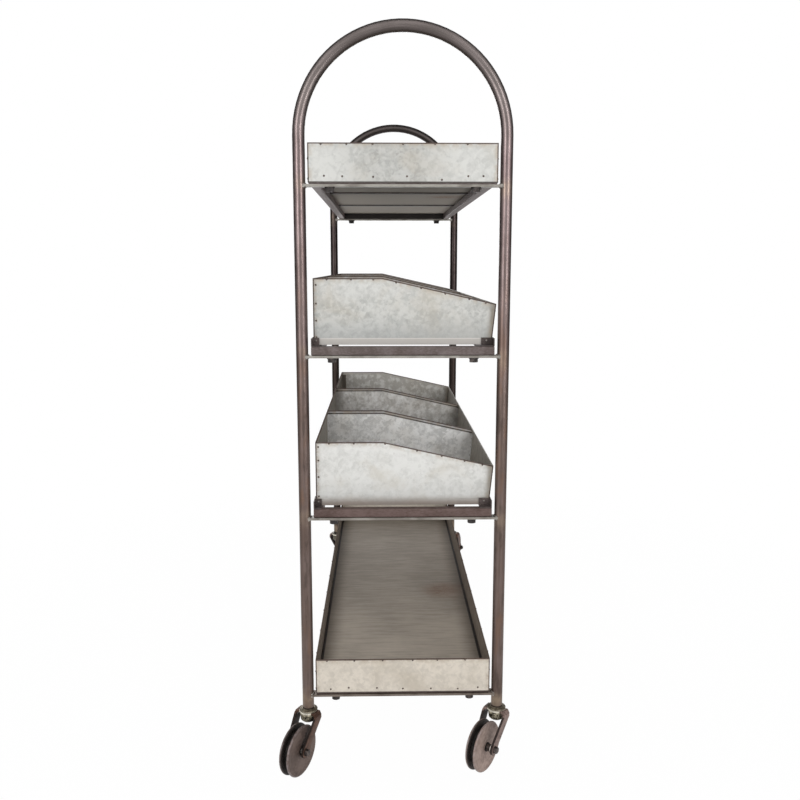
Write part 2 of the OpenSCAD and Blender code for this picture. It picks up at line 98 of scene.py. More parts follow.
# Rivets along the foot of the end panels as (place across the cart, height above the sheet's edge), and along
# their folded edges, all as unevenly set as on the real one
FOOT_RIVETS = {
    "top_tray": (
        (0.161, 0.0130), (0.124, 0.0119), (0.061, 0.0111), (-0.008, 0.0121), (-0.079, 0.0055),
        (-0.133, 0.0127), (-0.164, 0.0128)),
    "bottom_tray": (
        (0.161, 0.0087), (0.121, 0.0119), (0.058, 0.0109), (0.0, 0.0087), (-0.063, 0.0082),
        (-0.123, 0.0072), (-0.168, 0.0099)),
}
HEM_RIVETS = {
    "top_tray": (0.167, 0.115, 0.062, 0.0, -0.065, -0.131),
    "bottom_tray": (0.169, 0.108, 0.045, -0.022, -0.077, -0.139),
    "upper_bin": (0.160, 0.109, 0.062, 0.014, -0.039, -0.090, -0.141, -0.176),
    "lower_bin": (0.160, 0.106, 0.038, -0.031, -0.085, -0.135, -0.174),
}
# Heights of the rivets up a bin panel's back edge and up its front wall's end, above the panel's foot
BACK_RIVETS = {"upper_bin": (0.016, 0.051, 0.087, 0.126), "lower_bin": (0.020, 0.063, 0.100, 0.130)}
FRONT_RIVETS = (0.013, 0.071)
# Heights of the rivets up the long walls at a tray's corners, above the panels' lower edge
CORNER_RIVETS = (0.008, 0.048)
# Heights of the rivets through a divider's tabs, and how many of them the low front wall has
TAB_RIVETS = (0.020, 0.042, 0.064, 0.086, 0.108)
FRONT_TAB_RIVETS = 3
# Rivets along a tray's long wall, and how far the first sits from the end
LONG_RIVETS = 11
LONG_INSET = 0.040
# How far a rivet sits from the corner that it joins
CORNER_INSET = 0.0065

# Corner brackets: play beside the bin panel, flange thickness, and where the rivet sits, front and back
BRACKET_GAP = 0.0007
BRACKET_T = 0.002
BRACKET_RIVET_Y = {-1: 0.015, 1: 0.009}
BRACKET_RIVET_RISE = 0.011

# Weld beads at a crossbar's end: radius, reach round the leg, steps, and distance from the bar's face
WELD_R = 0.0022
WELD_SWEEP = math.radians(110)
WELD_STEPS = 26
WELD_SET = 0.0004
# Width and height of a bead's ripples
WELD_RIPPLE = 0.004
WELD_SWELL = 0.0016

# Points closer than this are merged
MERGE = 0.00001

# Camera at the photograph's place: beyond the left end at chest height, looking along the cart
CAMERA_PLACE = (-2.430, 0.0446, 1.112)
CAMERA_LOOK = (0.98769, -0.0212, -0.15487)
CAMERA_LENS = 38.28
CAMERA_SENSOR = 36.0

# Light on the object from all round, beside the lamps
WORLD_LIGHT = 0.16
FLOOR_R = 14.0
# Share of plain white in what is seen of the floor, near the cart and far from it
FLOOR_WHITE_NEAR = 0.985
FLOOR_WHITE_FAR = 1.0
# Distances over which the floor fades to plain white
FLOOR_FADE = (1.0, 2.2)


# Modelling helpers


def deselect_all():
    """Leaves nothing selected, in object mode."""
    if bpy.context.mode != "OBJECT":
        bpy.ops.object.mode_set(mode="OBJECT")
    bpy.ops.object.select_all(action="DESELECT")


def pick(*objects):
    """Selects these objects alone and makes the first one active."""
    deselect_all()
    for item in objects:
        item.select_set(True)
    bpy.context.view_layer.objects.active = objects[0]


def clean_mesh():
    """Merges doubles in the mesh being edited, points its faces outwards and leaves edit mode."""
    bpy.ops.mesh.select_all(action="SELECT")
    bpy.ops.mesh.remove_doubles(threshold=MERGE)
    bpy.ops.mesh.normals_make_consistent(inside=False)
    bpy.ops.object.mode_set(mode="OBJECT")


def settle(piece, name):
    """Puts the piece's place into its mesh, cleans the mesh and names the piece."""
    pick(piece)
    bpy.ops.object.transform_apply(location=True, rotation=True, scale=True)
    bpy.ops.object.mode_set(mode="EDIT")
    clean_mesh()
    piece.name = name
    piece.data.name = name
    return piece


def copies_of(model, places, name):
    """One piece made of a copy of the model at each (point, turn)."""
    copies = []
    for point, turn in places:
        copy = model.copy()
        copy.data = model.data.copy()
        copy.location = point
        copy.rotation_euler = turn
        bpy.context.collection.objects.link(copy)
        copies.append(copy)
    pick(*copies)
    bpy.ops.object.join()
    return settle(bpy.context.view_layer.objects.active, name)


def facing(x, y, z):
    """The turn that points a model's +Z along a direction."""
    return Vector((x, y, z)).to_track_quat("Z", "Y").to_euler()


def drop(model):
    """Removes a model that has been copied."""
    bpy.data.objects.remove(model, do_unlink=True)


# Materials


class Shade:
    """A socket of a material's node tree. Arithmetic on it adds the Math nodes that work it out."""

    def __init__(self, tree, socket=None):
        self.tree = tree
        self.socket = socket

    def node(self, kind, settings=None, inputs=None, output=0):
        """Adds a node, sets it up, feeds its sockets and returns one output."""
        made = self.tree.nodes.new(kind)
        for name, setting in (settings or {}).items():
            setattr(made, name, setting)
        for name, value in (inputs or {}).items():
            if isinstance(value, Shade):
                self.tree.links.new(value.socket, made.inputs[name])
            else:
                made.inputs[name].default_value = value
        return Shade(self.tree, made.outputs[output] if made.outputs else None)

    def math(self, operation, *values):
        return self.node("ShaderNodeMath", {"operation": operation}, dict(enumerate(values)))

    def __add__(self, other):
        return self.math("ADD", self, other)

    def __sub__(self, other):
        return self.math("SUBTRACT", self, other)

    def __rsub__(self, other):
        return self.math("SUBTRACT", other, self)

    def __mul__(self, other):
        return self.math("MULTIPLY", self, other)

    __radd__ = __add__
    __rmul__ = __mul__

    def __abs__(self):
        return self.math("ABSOLUTE", self)

    def root(self):
        return self.math("SQRT", self)

    def least(self, other):
        return self.math("MINIMUM", self, other)

    def most(self, other):
        return self.math("MAXIMUM", self, other)


def new_material(name):
    """An empty material and its Object coordinates."""
    material = bpy.data.materials.new(name)
    material.use_nodes = True
    material.node_tree.nodes.clear()
    place = Shade(material.node_tree).node("ShaderNodeTexCoord", output="Object")
    return material, place


def axis_of(place, axis):
    return place.node("ShaderNodeSeparateXYZ", inputs={"Vector": place}, output=axis)


def stretched(place, x, y, z):
    """Coordinates scaled by their own amount along each axis."""
    return place.node("ShaderNodeMapping", inputs={"Vector": place, "Scale": (x, y, z)})


def vector(operation, first, second, output="Vector"):
    return first.node("ShaderNodeVectorMath", {"operation": operation}, {0: first, 1: second}, output)


def noise(place, scale, detail=3.0, rough=0.55, warp=0.0):
    sockets = {"Vector": place, "Scale": scale, "Detail": detail, "Roughness": rough, "Distortion": warp}
    return place.node("ShaderNodeTexNoise", inputs=sockets)


def ease(value, low, high):
    """0 below low and 1 above high, with a soft step between, reversed where low is the larger."""
    sockets = {"Value": value, "From Min": low, "From Max": high}
    return value.node("ShaderNodeMapRange", {"interpolation_type": "SMOOTHSTEP"}, sockets)


def mix(factor, first, second):
    """First colour where the factor is 0, second where it is 1."""
    settings = {"data_type": "RGBA", "clamp_factor": True}
    return factor.node("ShaderNodeMix", settings, {0: factor, 6: first, 7: second}, output=2)


def rgb(red, green, blue):
    return (red, green, blue, 1.0)


def finish(material, colour, roughness, metallic, bump=None, depth=0.0002, **constants):
    """Joins the worked-out inputs to a Principled shader, and sets the constants on its sockets."""
    sockets = {"Base Color": colour, "Roughness": roughness, "Metallic": metallic}
    sockets.update({name.replace("_", " "): value for name, value in constants.items()})
    if bump is not None:
        sockets["Normal"] = bump.node("ShaderNodeBump", inputs={"Height": bump, "Distance": depth})
    surface = colour.node("ShaderNodeBsdfPrincipled", inputs=sockets)
    surface.node("ShaderNodeOutputMaterial", inputs={"Surface": surface})
    return material


def dress(material, *names):
    """Gives a material to CAD nodes."""
    for name in names:
        nodes[name].data.materials.clear()
        nodes[name].data.materials.append(material)


def over_arch(place):
    """Place across the arch, rise above its legs, and distance from the middle of its bend."""
    across = axis_of(place, "Y")
    rise = (axis_of(place, "Z") - ARCH_Z).most(0.0)
    return across, rise, (across * across + rise * rise).root()


def along_tube(place):
    """Coordinates that follow the bent tube: two across it, one along it from foot to foot over the arch."""
    across, rise, outward = over_arch(place)
    below = (ARCH_Z - axis_of(place, "Z")).most(0.0)
    turned = rise.math("ARCTAN2", rise, across)
    along = turned * LEG_Y - below * across.math("SIGN", across)
    return place.node("ShaderNodeCombineXYZ", inputs={"X": axis_of(place, "X"), "Y": outward, "Z": along})


def arch_top_shade(place):
    """Painted shade on the outside and underside of the arch's top."""
    strength = 0.75
    outward = over_arch(place)[2] - LEG_Y
    shade = ease(outward, 0.004, -LEG_R) * strength + ease(outward, 0.007, LEG_R) * strength
    return shade * ease(axis_of(place, "Z"), ARCH_Z + 0.06, ARCH_Z + LEG_Y - 0.02)


def lacquered_tube(name, dark, light, low_tone, inside_shade):
    """Bent tube: brown-violet lacquer over raw steel, streaked along the tube, scorched gold at the welds."""
    rust_brown = rgb(0.165, 0.098, 0.068)
    pit_brown = rgb(0.050, 0.038, 0.032)
    bend_grey = rgb(0.159, 0.168, 0.153)
    arch_shade_dark = rgb(0.040, 0.031, 0.029)
    inside_shade_dark = rgb(0.018, 0.014, 0.013)
    scorch_gold = rgb(0.26, 0.20, 0.145)
    leg_foot_shade = rgb(0.022, 0.018, 0.016)
    speck_dark = rgb(0.05, 0.042, 0.04)
    material, place = new_material(name)
    height = axis_of(place, "Z")
    run = along_tube(place)
    streak = noise(stretched(run, 1, 1, 0.05), 230.0)
    cloud = noise(place, 14.0, detail=4.0)
    grain = noise(place, 900.0, detail=2.0)
    rust = noise(stretched(run, 1, 1, 0.25), 55.0, detail=4.0, rough=0.6)
    tone = ease(streak * 0.55 + cloud * 0.45, 0.36, 0.66)
    colour = mix(tone, dark, light)
    lower = ease(height, 1.30, 0.75)
    colour = mix(lower * 0.6, colour, low_tone)
    colour = mix(lower * ease(rust, 0.50, 0.66) * 0.55, colour, rust_brown)
    colour = mix(lower * ease(rust, 0.46, 0.34) * 0.5, colour, pit_brown)
    bent = ease(height, ARCH_Z - 0.05, ARCH_Z + 0.10)
    colour = mix(bent * 0.35, colour, bend_grey)
    # Painted shade on the arch's top
    colour = mix(arch_top_shade(place), colour, arch_shade_dark)
    # Painted shade on the half of the tube that faces into the cart, as strong as inside_shade, weaker over
    # the arch
    inside = ease(abs(axis_of(place, "X")), LEG_X + 0.006, LEG_X - 0.002)
    colour = mix(inside * (1.0 - bent * 0.35) * inside_shade, colour, inside_shade_dark)
    scorch = sum(ease(abs(height - (seat - CROSSBAR_T)), 0.034, 0.004) for seat in SEATS)
    bare_end = ease(height, SEATS[0] + 0.02, SEATS[0] - 0.02)
    golden = (scorch + bare_end) * ease(cloud, 0.38, 0.60)
    colour = mix(golden * 0.45, colour, scorch_gold)
    # Painted shade at the leg's foot, where it stands in the caster's cup
    colour = mix(ease(height, LEG_END + 0.004, LEG_END + 0.0015) * 0.85, colour, leg_foot_shade)
    colour = mix(ease(grain, 0.64, 0.80) * 0.5, colour, speck_dark)
    rough = 0.24 + streak * 0.10 + grain * 0.06 + lower * 0.12
    bump = grain * 0.4 + streak * 0.6
    return finish(material, colour, rough, metallic=0.8, bump=bump, depth=0.00012, Specular_IOR_Level=0.2)


def mill_rail(name, dark, light, inner_x=None):
    """Bar and square tube with brown-violet mill scale under clear lacquer, nearly black painted shade inside
    inner_x.
    """
    speck_dark = rgb(0.045, 0.036, 0.034)
    inner_face_shade = rgb(0.016, 0.014, 0.013)
    material, place = new_material(name)
    cloud = noise(place, 18.0, detail=5.0, rough=0.6)
    scale_marks = noise(stretched(place, 1, 1, 2.5), 160.0, detail=3.0, rough=0.6)
    speck = noise(place, 700.0, detail=2.0)
    colour = mix(ease(cloud * 0.6 + scale_marks * 0.4, 0.38, 0.64), dark, light)
    colour = mix(ease(speck, 0.62, 0.78) * 0.45, colour, speck_dark)
    if inner_x is not None:
        inside = ease(abs(axis_of(place, "X")), inner_x + 0.0010, inner_x + 0.0004)
        colour = mix(inside * 0.9, colour, inner_face_shade)
    rough = 0.42 + cloud * 0.18
    bump = scale_marks + speck * 0.4
    return finish(material, colour, rough, metallic=0.5, bump=bump, depth=0.00015, Specular_IOR_Level=0.3)


def rubbed_bar():
    """Flat crossbars: nearly bright at the top of the cart, browner towards the floor."""
    worn_low, worn_high = rgb(0.178, 0.145, 0.122), rgb(0.304, 0.288, 0.260)
    brown_low, brown_high = rgb(0.094, 0.073, 0.059), rgb(0.184, 0.166, 0.147)
    scratch_dark = rgb(0.10, 0.082, 0.072)
    material, place = new_material("rubbed_bar")
    cloud = noise(place, 22.0, detail=4.0)
    scratch = noise(stretched(place, 30, 1, 30), 40.0)
    upper = ease(axis_of(place, "Z"), SEATS[0], SEATS[1] + 0.10)
    worn = mix(upper, worn_low, worn_high)
    brown = mix(upper, brown_low, brown_high)
    colour = mix(ease(cloud, 0.40, 0.66), worn, brown)
    colour = mix(ease(scratch, 0.60, 0.75) * 0.5, colour, scratch_dark)
    rough = 0.34 + cloud * 0.2
    return finish(material, colour, rough, metallic=0.6, bump=scratch, depth=0.0001)


def spangle(place):
    """Crystal pattern of hot-dipped zinc: patches of even tone with ragged borders, in two sizes."""
    sway = (noise(place, 34.0, detail=2.0) - 0.5) * 0.02
    shift = sway.node("ShaderNodeCombineXYZ", inputs={"X": sway, "Y": sway, "Z": sway * -1.0})
    ragged = vector("ADD", place, shift)
    large = ragged.node("ShaderNodeTexVoronoi", inputs={"Vector": ragged, "Scale": 46.0}, output="Color")
    small = ragged.node("ShaderNodeTexVoronoi", inputs={"Vector": ragged, "Scale": 150.0}, output="Color")
    return axis_of(large, "X"), axis_of(small, "Y")


class ZincSheet:
    """Zinc-coated sheet: spangled and clouded, stained warm in patches. Marks are added to it one by one."""

    def __init__(self, name, light, dark, stain, stain_amount, spread=0.115):
        self.material, self.place = new_material(name)
        large, small = spangle(self.place)
        cloud = noise(self.place, 7.0, detail=5.0, rough=0.6)
        self.mottle = noise(self.place, 60.0, detail=4.0, rough=0.65)
        swirl = noise(self.place, 48.0, detail=4.0, rough=0.6, warp=1.8)
        grain = noise(self.place, 1100.0, detail=2.0)
        tone = large * 0.08 + small * 0.10 + self.mottle * 0.30 + swirl * 0.24 + cloud * 0.28
        middle = 0.475
        colour = mix(ease(tone, middle - spread, middle + spread), dark, light)
        patch = ease(noise(self.place, 9.0, detail=5.0, rough=0.62, warp=0.6), 0.47, 0.70)
        self.colour = mix(patch * stain_amount, colour, stain)
        self.rough = 0.46 + large * 0.07 + small * 0.05 + self.mottle * 0.08
        self.metal = 0.35
        self.bump = grain * 0.25 + self.mottle * 0.9 + cloud * 2.0

    def soil_edge(self, distance):
        """A warm stain near a free edge, and a dark rusty line right on it."""
        warm_stain = rgb(0.36, 0.29, 0.215)
        dark_rust = rgb(0.060, 0.034, 0.028)
        near = ease(distance, 0.014, 0.002) * ease(self.mottle, 0.40, 0.60)
        self.colour = mix(near * 0.55, self.colour, warm_stain)
        line = ease(distance, 0.0032, 0.0016)
        self.colour = mix(line * 0.9, self.colour, dark_rust)
        return self.dull(line)

    def shade_fold(self, distance):
        """A browned folded edge with a painted shadow line under it."""
        fold_brown = rgb(0.180, 0.154, 0.129)
        fold_shadow = rgb(0.040, 0.030, 0.025)
        fold = ease(distance, HEM + 0.0006, HEM - 0.0006)
        self.colour = mix(fold * (0.25 + self.mottle * 0.4), self.colour, fold_brown)
        # Painted shadow under the fold
        line = ease(abs(distance - HEM), 0.0026, 0.0012)
        self.colour = mix(line * 0.9, self.colour, fold_shadow)
        return self

    def tint(self, mask, colour):
        """Another colour where the mask is."""
        self.colour = mix(mask, self.colour, colour)
        return self

    def dull(self, mask):
        """Rougher and less metallic where the mask is."""
        self.rough = self.rough + mask * 0.35
        self.metal = self.metal - mask * 0.3
        return self

    def done(self):
        colour, rough, metal = self.colour, self.rough, self.metal
        return finish(self.material, colour, rough, metal, self.bump, depth=0.0004, Specular_IOR_Level=0.3)


def bin_top(name):
    """A bin panel's top line: its full height, where its slope starts and how steep that is."""
    low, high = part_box(f"{name}_end_panels")
    start = high[1] - BIN_LEVEL * 2 * high[1]
    slope = (high[2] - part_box(f"{name}_front_wall")[1][2]) / (start - low[1])
    return high[2], start, slope


def below_bin_top(place, name):
    """Distance below a bin panel's top edge, level at the back and sloping down to the front."""
    full, start, slope = bin_top(name)
    sloping = (axis_of(place, "Y") - start) * slope + full
    return sloping.least(full) - axis_of(place, "Z")


def bin_lean(name):
    """How far a bin's front wall leans outwards with the height."""
    low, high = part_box(f"{name}_end_panels")
    front_low, front_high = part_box(f"{name}_front_wall")
    return (-low[1] - high[1]) / (front_high[2] - front_low[2])


def bin_side(place, name):
    """Distance from a bin panel's upright edges, the front one leaning outwards."""
    low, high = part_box(f"{name}_end_panels")
    across = axis_of(place, "Y")
    to_front = across + high[1] + (axis_of(place, "Z") - low[2]) * bin_lean(name)
    return to_front.least(high[1] - across)


def brushed_floor(name, dark, light, rust_at, low, half_width):
    """Tray floor: dull zinc, brushed across the tray, darker along the walls, a rusty blotch, painted shade
    underneath.
    """
    near_tone = rgb(0.55, 0.485, 0.41)
    underside_far_lit, underside_near_shade = rgb(0.384, 0.340, 0.288), rgb(0.080, 0.069, 0.056)
    wall_darkening = rgb(0.060, 0.044, 0.032)
    corner_black = rgb(0.012, 0.009, 0.007)
    rust_red = rgb(0.17, 0.070, 0.033)
    material, place = new_material(name)
    above = ease(axis_of(place, "Z"), low + SHEET * 0.3, low + SHEET * 0.7)
    lines = noise(stretched(place, 10, 1, 1), 14.0, detail=4.0, rough=0.6)
    fine = noise(stretched(place, 40, 1, 1), 60.0, detail=3.0, rough=0.6)
    cloud = noise(place, 6.0, detail=5.0, rough=0.6)
    tone = ease(lines * 0.45 + fine * 0.2 + cloud * 0.35, 0.38, 0.62)
    colour = mix(tone, dark, light)
    near = ease(axis_of(place, "X"), 0.10, -0.65)
    colour = mix(near * above * (0.5 + tone * 0.4), colour, near_tone)
    # Painted shade on the underside, deepest at the near end
    below = mix(near, underside_far_lit, underside_near_shade)
    colour = mix((1.0 - above) * 0.85, colour, below)
    beside = half_width - abs(axis_of(place, "Y"))
    # Darker along the walls, nearly black in the corner
    colour = mix(above * ease(beside, 0.050, 0.0) * 0.62, colour, wall_darkening)
    colour = mix(above * ease(beside, 0.0065, 0.0035) * 0.95, colour, corner_black)
    offset = vector("DISTANCE", place, rust_at, "Value")
    rust = ease(offset + cloud * 0.10, 0.13, 0.05) * ease(fine, 0.35, 0.6)
    colour = mix(rust * 0.8, colour, rust_red)
    rough = 0.52 + fine * 0.2
    bump = lines * 0.5 + fine
    return finish(material, colour, rough, metallic=0.12, bump=bump, depth=0.0002, Specular_IOR_Level=0.12)


def black_hardware():
    """Blackened bolts and washers, rubbed brown in places."""
    black, rubbed = rgb(0.028, 0.024, 0.023), rgb(0.085, 0.068, 0.062)
    material, place = new_material("black_hardware")
    cloud = noise(place, 90.0, detail=4.0)
    speck = noise(place, 800.0, detail=2.0)
    colour = mix(ease(cloud, 0.45, 0.70), black, rubbed)
    rough = 0.42 + speck * 0.2
    return finish(material, colour, rough, metallic=0.5, bump=speck + cloud, depth=0.0001)


def along_axle(place, caster, middle):
    """Distance along a wheel's axle from a point on it."""
    shifted = vector("SUBTRACT", place, tuple(middle))
    return vector("DOT_PRODUCT", shifted, tuple(joints[f"{caster}_roll"]["axis"]), "Value")


def axle_hardware(caster):
    """Axle bolt, nut and spacers, dark, with the spacers' ends rubbed bright beside the arms."""
    black, brown = rgb(0.040, 0.033, 0.030), rgb(0.12, 0.095, 0.085)
    bright_steel = rgb(0.80, 0.77, 0.72)
    material, place = new_material(f"{caster}_axle_hardware")
    along = along_axle(place, caster, joints[f"{caster}_roll"]["pos_m"])
    cloud = noise(place, 120.0)
    speck = noise(place, 900.0, detail=2.0)
    inward = ARM_INSIDE - abs(along)
    bright = ease(inward, -0.0003, 0.0003) * ease(inward, 0.0042, 0.0034)
    colour = mix(ease(cloud, 0.42, 0.66), black, brown)
    colour = mix(bright, colour, bright_steel)
    rough = 0.42 - bright * 0.12 + speck * 0.15
    return finish(material, colour, rough, metallic=0.7 - bright * 0.4, bump=speck, depth=0.00008)


def wheel_face(caster, dark, light):
    """Wheel disc: brown antiqued steel, faint turning marks, rubbed violet-grey rim, painted shade in the
    groove.
    """
    rim_grey = rgb(0.26, 0.225, 0.23)
    groove_shade = rgb(0.024, 0.021, 0.019)
    material, place = new_material(f"{caster}_wheel_face")
    low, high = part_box(f"{caster}_wheel_discs")
    middle = tuple((a + b) / 2 for a, b in zip(low, high))
    along = along_axle(place, caster, middle)
    reach = vector("DISTANCE", place, middle, "Value")
    radius = (reach * reach - along * along).root()
    cloud = noise(place, 26.0, detail=5.0, rough=0.6)
    mottle = noise(place, 150.0, detail=4.0)
    turned = radius.node("ShaderNodeCombineXYZ", inputs={"X": radius * 900.0, "Y": along * 40.0})
    rings = noise(turned, 1.0)
    tone = ease(cloud * 0.55 + mottle * 0.30 + rings * 0.15, 0.38, 0.62)
    colour = mix(tone, dark, light)
    rubbed = ease(radius, WHEEL_R - 0.0045, WHEEL_R - 0.0012) * ease(mottle, 0.35, 0.6)
    colour = mix(rubbed * 0.5, colour, rim_grey)
    # Painted shade on the discs' faces inside the groove
    groove = ease(abs(along), WHEEL_HALF - DISC_T * 0.55, WHEEL_HALF - DISC_T * 0.85)
    colour = mix(groove * 0.88, colour, groove_shade)
    rough = 0.48 + mottle * 0.16 - rubbed * 0.1
    bump = rings * 0.7 + mottle * 0.6
    return finish(material, colour, rough, metallic=0.45, bump=bump, depth=0.00012, Specular_IOR_Level=0.3)


def groove_iron():
    """Wheel core and the groove's sides, oxidised nearly black."""
    black, grey = rgb(0.012, 0.011, 0.010), rgb(0.035, 0.031, 0.028)
    material, place = new_material("groove_iron")
    cloud = noise(place, 60.0, detail=4.0)
    speck = noise(place, 500.0)
    colour = mix(ease(cloud, 0.40, 0.65), black, grey)
    rough = 0.6 + speck * 0.2
    return finish(material, colour, rough, metallic=0.2, bump=speck, depth=0.0002, Specular_IOR_Level=0.2)


def arm_edge(place, caster):
    """1 on the narrow sides of a fork's arms, which run straight from the head down to the axle."""
    pivot, axle = (Vector(joints[f"{caster}_{kind}"]["pos_m"]) for kind in ("swivel", "roll"))
    trail = Vector((axle.x - pivot.x, axle.y - pivot.y, 0))
    up = Vector((0, 0, 1))
    slope = trail.length - ARM_HEAD[0], axle.z - ARM_HEAD[1]
    down = (trail.normalized() * slope[0] + up * slope[1]).normalized()
    square = (trail.normalized() * -slope[1] + up * slope[0]).normalized()
    shifted = vector("SUBTRACT", place, tuple(axle))
    past_eye = vector("DOT_PRODUCT", shifted, tuple(down), "Value")
    aside = vector("DOT_PRODUCT", shifted, tuple(square), "Value")
    beyond = past_eye.most(0.0)
    half = ARM_HALF + ease(past_eye, -ARM_FLARE, 0.0) * (ARM_EYE_R - ARM_HALF)
    to_edge = half - (beyond * beyond + aside * aside).root()
    return ease(to_edge, 0.0012, 0.0004) * ease(axis_of(place, "Z"), ARM_HEAD[1] + 0.003, ARM_HEAD[1])


def arm_inside(place, caster):
    """1 on the arms' sides that face the wheel, which spread apart above the wheel."""
    along = along_axle(place, caster, joints[f"{caster}_roll"]["pos_m"])
    height = axis_of(place, "Z")
    spread = (height - ARM_KNEE_Z).most(0.0) * ARM_SPREAD
    facing_wheel = ease(abs(along) - spread, ARM_INSIDE + 0.0014, ARM_INSIDE + 0.0006)
    return facing_wheel * ease(height, PLATE_TOP, ARM_HEAD[1])


def fork_steel(caster, dark, light):
    """Fork: brown antiqued steel, painted shade on the arms' edges and insides, a painted glint on the
    plate's rim.
    """
    arm_shade_black = rgb(0.012, 0.009, 0.008)
    plate_rim_glint = rgb(0.70, 0.66, 0.56)
    material, place = new_material(f"{caster}_fork_steel")
    pivot = joints[f"{caster}_swivel"]["pos_m"]
    level = vector("MULTIPLY", place, (1.0, 1.0, 0.0))
    radius = vector("DISTANCE", level, (pivot[0], pivot[1], 0.0), "Value")
    cloud = noise(place, 40.0, detail=5.0, rough=0.6)
    mottle = noise(place, 220.0, detail=4.0)
    tone = ease(cloud * 0.6 + mottle * 0.4, 0.38, 0.62)
    colour = mix(tone, dark, light)
    # Painted shade on the arms' narrow sides and on their faces towards the wheel
    arm_shade = arm_edge(place, caster).most(arm_inside(place, caster))
    colour = mix(arm_shade * 0.9, colour, arm_shade_black)
    # A painted glint on the round plate's rim
    on_rim = ease(abs(radius - PLATE_R), 0.0012, 0.0006)
    rim = on_rim * ease(axis_of(place, "Z"), PLATE_TOP - 0.006, PLATE_TOP - 0.004)
    colour = mix(rim * ease(mottle, 0.25, 0.45), colour, plate_rim_glint)
    rough = 0.44 + mottle * 0.16 - rim * 0.12
    return finish(material, colour, rough, metallic=0.5, bump=mottle, depth=0.00012, Specular_IOR_Level=0.3)


def bronzed_cup(name, dark, light, spread):
    """Swivel cup: olive bronze wash, worn pale in patches, darker at the cart's right end."""
    right_dark = rgb(0.045, 0.038, 0.030)
    middle = 0.5
    material, place = new_material(name)
    cloud = noise(place, 85.0, detail=4.0)
    mottle = noise(place, 260.0, detail=4.0)
    colour = mix(ease(cloud * 0.6 + mottle * 0.4, middle - spread, middle + spread), dark, light)
    colour = mix(ease(axis_of(place, "X"), -0.2, 0.2) * 0.8, colour, right_dark)
    return finish(material, colour, 0.34 + mottle * 0.18, metallic=0.7, bump=mottle, depth=0.00012)


def plain_bright():
    """Bright steel for bearing balls and threaded inserts."""
    light, dark = rgb(0.60, 0.58, 0.54), rgb(0.44, 0.42, 0.38)
    material, place = new_material("plain_bright")
    speck = noise(place, 600.0, detail=2.0)
    colour = mix(ease(speck, 0.4, 0.7), light, dark)
    return finish(material, colour, 0.25 + speck * 0.15, metallic=0.95)


def rivet_metal(name, dark, light, rough, metallic):
    """Rivet heads, darkened by rust or left bright."""
    material, place = new_material(name)
    speck = noise(place, 300.0)
    colour = mix(ease(speck, 0.36, 0.62), dark, light)
    return finish(material, colour, rough + speck * 0.2, metallic)


def weld_metal():
    """Weld bead: bright ripples with a brown heat tint."""
    bright, tinted = rgb(0.46, 0.43, 0.39), rgb(0.20, 0.165, 0.15)
    material, place = new_material("weld_metal")
    cloud = noise(place, 160.0)
    fine = noise(place, 700.0)
    colour = mix(ease(cloud, 0.38, 0.66), bright, tinted)
    return finish(material, colour, 0.28 + fine * 0.2, metallic=0.75, bump=fine, depth=0.0002)


def dress_frame():
    """Finishes of the tube frames, shelf frames and hardware."""
    tones = rgb(0.138, 0.102, 0.099), rgb(0.248, 0.193, 0.191), rgb(0.100, 0.069, 0.050)
    dress(lacquered_tube("near_tube", *tones, inside_shade=0.0), "left_end_arch")
    # The far arch: the same lacquer with painted shade on its tube's inner half
    dress(lacquered_tube("far_tube_shaded", *tones, inside_shade=0.74), "right_end_arch")
    dress(rubbed_bar(), "left_crossbars", "right_crossbars")
    rail = mill_rail("mill_rail", rgb(0.098, 0.070, 0.066), rgb(0.180, 0.140, 0.138))
    # The shelves' cross bars: a darker copy of the mill scale, as painted shade
    cross_bar_shade = mill_rail("cross_bar_shade", rgb(0.030, 0.024, 0.022), rgb(0.070, 0.055, 0.050))
    # The end rails' faces inside end_x get painted shade
    end_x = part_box("top_shelf_end_rails")[1][0] - RAIL
    low_end = mill_rail("low_end_rail", rgb(0.078, 0.050, 0.043), rgb(0.143, 0.099, 0.090), end_x)
    high_end = mill_rail("high_end_rail", rgb(0.092, 0.071, 0.066), rgb(0.169, 0.141, 0.136), end_x)
    for shelf, end_rail in zip(SHELVES, (low_end, low_end, high_end, high_end)):
        dress(rail, f"{shelf}_side_rails")
        dress(cross_bar_shade, f"{shelf}_cross_bars")
        dress(end_rail, f"{shelf}_end_rails")
    bracket = mill_rail("bracket_steel", rgb(0.055, 0.044, 0.041), rgb(0.125, 0.100, 0.094))
    dress(bracket, *(f"{name}_corner_brackets" for name in BINS))
    dress(black_hardware(), "shelf_bolts", "shelf_bolt_washers")
    dress(plain_bright(), "shelf_bolt_inserts", "caster_bearing_balls")


def tray_panel(tray, light, dark, stain, stain_amount, side_light):
    """A tray's end panels: painted light towards the sides, a soiled edge, a painted shadow along the foot,
    dark corner rivets.
    """
    pale = rgb(0.78, 0.78, 0.75)
    foot_shadow = rgb(0.030, 0.024, 0.021)
    mark_dark = rgb(0.040, 0.032, 0.028)
    low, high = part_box(f"{tray}_end_panels")
    panel = ZincSheet(f"{tray}_panel", light, dark, stain, stain_amount)
    across = axis_of(panel.place, "Y")
    # Painted light towards the panel's sides
    panel.tint(ease(abs(across - 0.02), 0.03, 0.15) * side_light, pale)
    top = high[2] - axis_of(panel.place, "Z")
    panel.soil_edge(top.least(high[1] - abs(across)))
    height = axis_of(panel.place, "Z") - low[2]
    # Painted shadow along the foot, in the gap above the crossbar
    panel.tint(ease(height, 0.0028, 0.0012) * 0.9, foot_shadow)
    for rise in CORNER_RIVETS:
        mark = ease(abs(height - rise), 0.005, 0.002) * ease(high[1] - across, 0.0035, 0.0015)
        panel.tint(mark * 0.85, mark_dark)
    dress(panel.done(), f"{tray}_end_panels")


